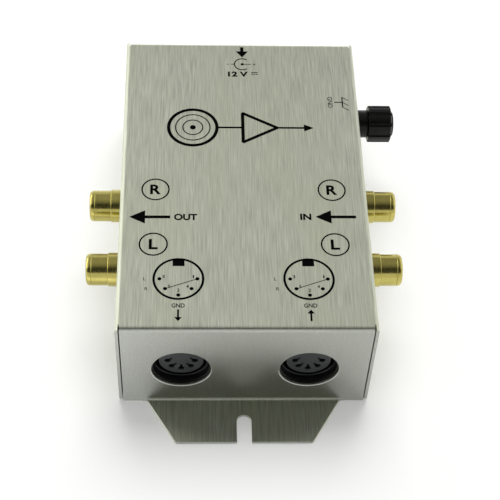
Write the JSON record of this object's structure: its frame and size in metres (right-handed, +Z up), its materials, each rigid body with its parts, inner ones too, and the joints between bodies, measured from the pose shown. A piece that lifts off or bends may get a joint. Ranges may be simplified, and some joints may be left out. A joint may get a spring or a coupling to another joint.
{
  "type": "phono preamp",
  "caption": "Small phono preamp in a folded steel case with fixing flanges, RCA jacks, DIN sockets, a DC inlet and a screw-down ground terminal.",
  "frame": {"origin": "centre of the underside of the case, between the side walls and between the end walls", "axes": "+X to the input side with the ground terminal, +Y to the end with the DC jack, +Z up through the printed top; the DIN sockets face -Y"},
  "size_m": [0.084, 0.1256, 0.033],
  "materials": {
    "brushed_steel": "brushed stainless sheet",
    "zinc_steel": "zinc plated",
    "black_screw": "black oxide",
    "board_green": "solder mask",
    "gilt": "gold plated, polished",
    "tinned": "tinned brass",
    "nickel": "nickel plated",
    "black_plastic": "moulded, satin",
    "din_insert": "moulded, satin",
    "black_cap": "moulded, satin gloss",
    "brass_stud": "turned",
    "red_insulator": "moulded",
    "white_insulator": "moulded",
    "chip_black": "moulded epoxy",
    "can_sleeve": "shrunk sleeve",
    "film_red": "dipped box",
    "resistor_blue": "lacquered",
    "wire_red": "extruded",
    "wire_black": "extruded",
    "wire_green": "extruded"
  },
  "bodies": {
    "housing": {"amp_chips": "chip_black", "amp_sockets": "black_plastic", "base_brackets": "zinc_steel", "base_plate": "zinc_steel", "base_screws": "black_screw", "board_screws": "zinc_steel", "board_standoffs": "zinc_steel", "circuit_board": "board_green", "cover": "brushed_steel", "dc_jack_body": "black_plastic", "dc_jack_pin": "nickel", "dc_jack_spring": "nickel", "din_body_in": "black_plastic", "din_body_out": "black_plastic", "din_contacts_in": "nickel", "din_contacts_out": "nickel", "din_insert_in": "din_insert", "din_insert_out": "din_insert", "din_shield_in": "nickel", "din_shield_out": "nickel", "electrolytic_capacitors": "can_sleeve", "film_capacitors": "film_red", "ground_collar": "black_plastic", "ground_nut": "nickel", "ground_stud": "brass_stud", "ground_tag": "tinned", "ground_wire": "wire_green", "jack_contact_in_left": "gilt", "jack_contact_in_right": "gilt", "jack_contact_out_left": "gilt", "jack_contact_out_right": "gilt", "jack_insulator_in_left": "white_insulator", "jack_insulator_in_right": "red_insulator", "jack_insulator_out_left": "white_insulator", "jack_insulator_out_right": "red_insulator", "jack_nuts": "gilt", "jack_shell_in_left": "gilt", "jack_shell_in_right": "gilt", "jack_shell_out_left": "gilt", "jack_shell_out_right": "gilt", "jack_tags": "tinned", "press_nuts": "zinc_steel", "rectifier_diode": "chip_black", "resistors": "resistor_blue", "shield_wires": "wire_black", "signal_wires": "wire_red", "voltage_regulator": "chip_black"},
    "washer": {"clamp_washer": "nickel"},
    "terminal_cap": {"ground_cap": "black_cap", "cap_insert": "brass_stud"}
  },
  "joints": [
    {"name": "cap_lift", "type": "slide", "parent": "housing", "child": "washer", "axis": [1, 0, 0], "range_m": [0, 0.0028]},
    {"name": "cap_turn", "type": "hinge", "parent": "washer", "child": "terminal_cap", "pos_m": [0.03595, 0.0268, 0.0243], "axis": [1, 0, 0], "range_deg": [0, 1440]}
  ],
  "couplings": [
    {"joint": "cap_turn", "follows": "cap_lift", "rad_per_m": 8975.9}
  ]
}
